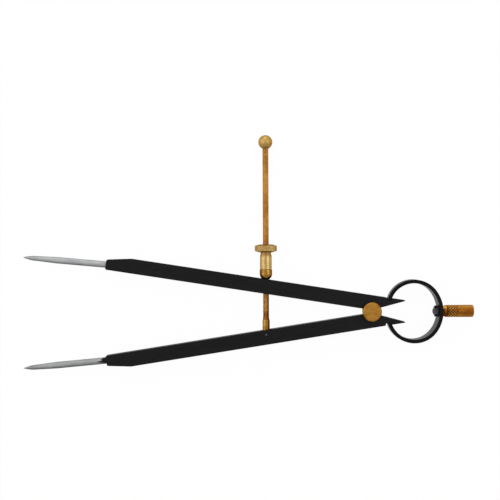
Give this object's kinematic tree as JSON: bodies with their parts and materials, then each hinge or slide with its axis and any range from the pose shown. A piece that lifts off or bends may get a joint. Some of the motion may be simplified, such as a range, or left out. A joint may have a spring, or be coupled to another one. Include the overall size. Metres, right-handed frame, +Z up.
{
  "type": "spring divider",
  "caption": "Flat-leg spring divider: legs with needle points turn on a brass spool under a bow spring, set by a knurled nut on a swinging screw.",
  "frame": {"origin": "on the axis of the fulcrum spool, at the spool's rear face, which lies on the table", "axes": "+X along the handle, away from the points; +Y towards the nut and ball; +Z up from the table"},
  "size_m": [0.196, 0.1017, 0.0098],
  "materials": {
    "black_lacquer": "satin black lacquer on steel",
    "needle_steel": "ground steel",
    "bolt_steel": "dark oiled steel",
    "brass": "aged brass, turned",
    "pale_brass": "bright worn brass, turned"
  },
  "bodies": {
    "bow": {"bow_spring": "black_lacquer", "handle": "brass", "handle_screw": "bolt_steel", "handle_washer": "bolt_steel"},
    "fulcrum": {"fulcrum_spool": "brass"},
    "upper_leg": {"upper_leg": "black_lacquer", "upper_point": "needle_steel"},
    "lower_leg": {"lower_leg": "black_lacquer", "lower_point": "needle_steel", "eye_pin": "needle_steel"},
    "screw": {"adjusting_screw": "brass", "screw_ball": "pale_brass", "screw_eye": "brass"},
    "seat": {"nut_seat": "brass"},
    "nut": {"adjusting_nut": "pale_brass"}
  },
  "joints": [
    {"name": "upper_leg_swing", "type": "hinge", "parent": "bow", "child": "upper_leg", "pos_m": [0, 0, 0.0049], "axis": [0, 0, -1], "range_deg": [-8.66, 16.47], "deforming": ["bow_spring"]},
    {"name": "lower_leg_swing", "type": "hinge", "parent": "bow", "child": "lower_leg", "pos_m": [0, 0, 0.0049], "axis": [0, 0, 1], "range_deg": [-8.7, 16.5], "deforming": ["bow_spring"]},
    {"name": "screw_swing", "type": "hinge", "parent": "lower_leg", "child": "screw", "pos_m": [-0.04573, -0.00985, 0.0049], "axis": [0, 0, -1], "range_deg": [-8.7, 16.5]},
    {"name": "nut_slide", "type": "slide", "parent": "screw", "child": "seat", "axis": [0, 1, 0], "range_m": [-0.0141, 0.0268]},
    {"name": "nut_spin", "type": "hinge", "parent": "seat", "child": "nut", "pos_m": [-0.04573, 0.01844, 0.0049], "axis": [0, 1, 0], "range_deg": [-10120, 19200]},
    {"name": "fulcrum_turn", "type": "hinge", "parent": "bow", "child": "fulcrum", "pos_m": [0, 0, 0.0049], "axis": [0, 0, 1], "continuous": true}
  ],
  "couplings": [
    {"joint": "lower_leg_swing", "follows": "upper_leg_swing", "ratio": 1},
    {"joint": "screw_swing", "follows": "upper_leg_swing", "ratio": 1},
    {"joint": "nut_slide", "follows": "upper_leg_swing", "m_per_rad": 0.09249},
    {"joint": "nut_spin", "follows": "upper_leg_swing", "ratio": 1162.3}
  ]
}
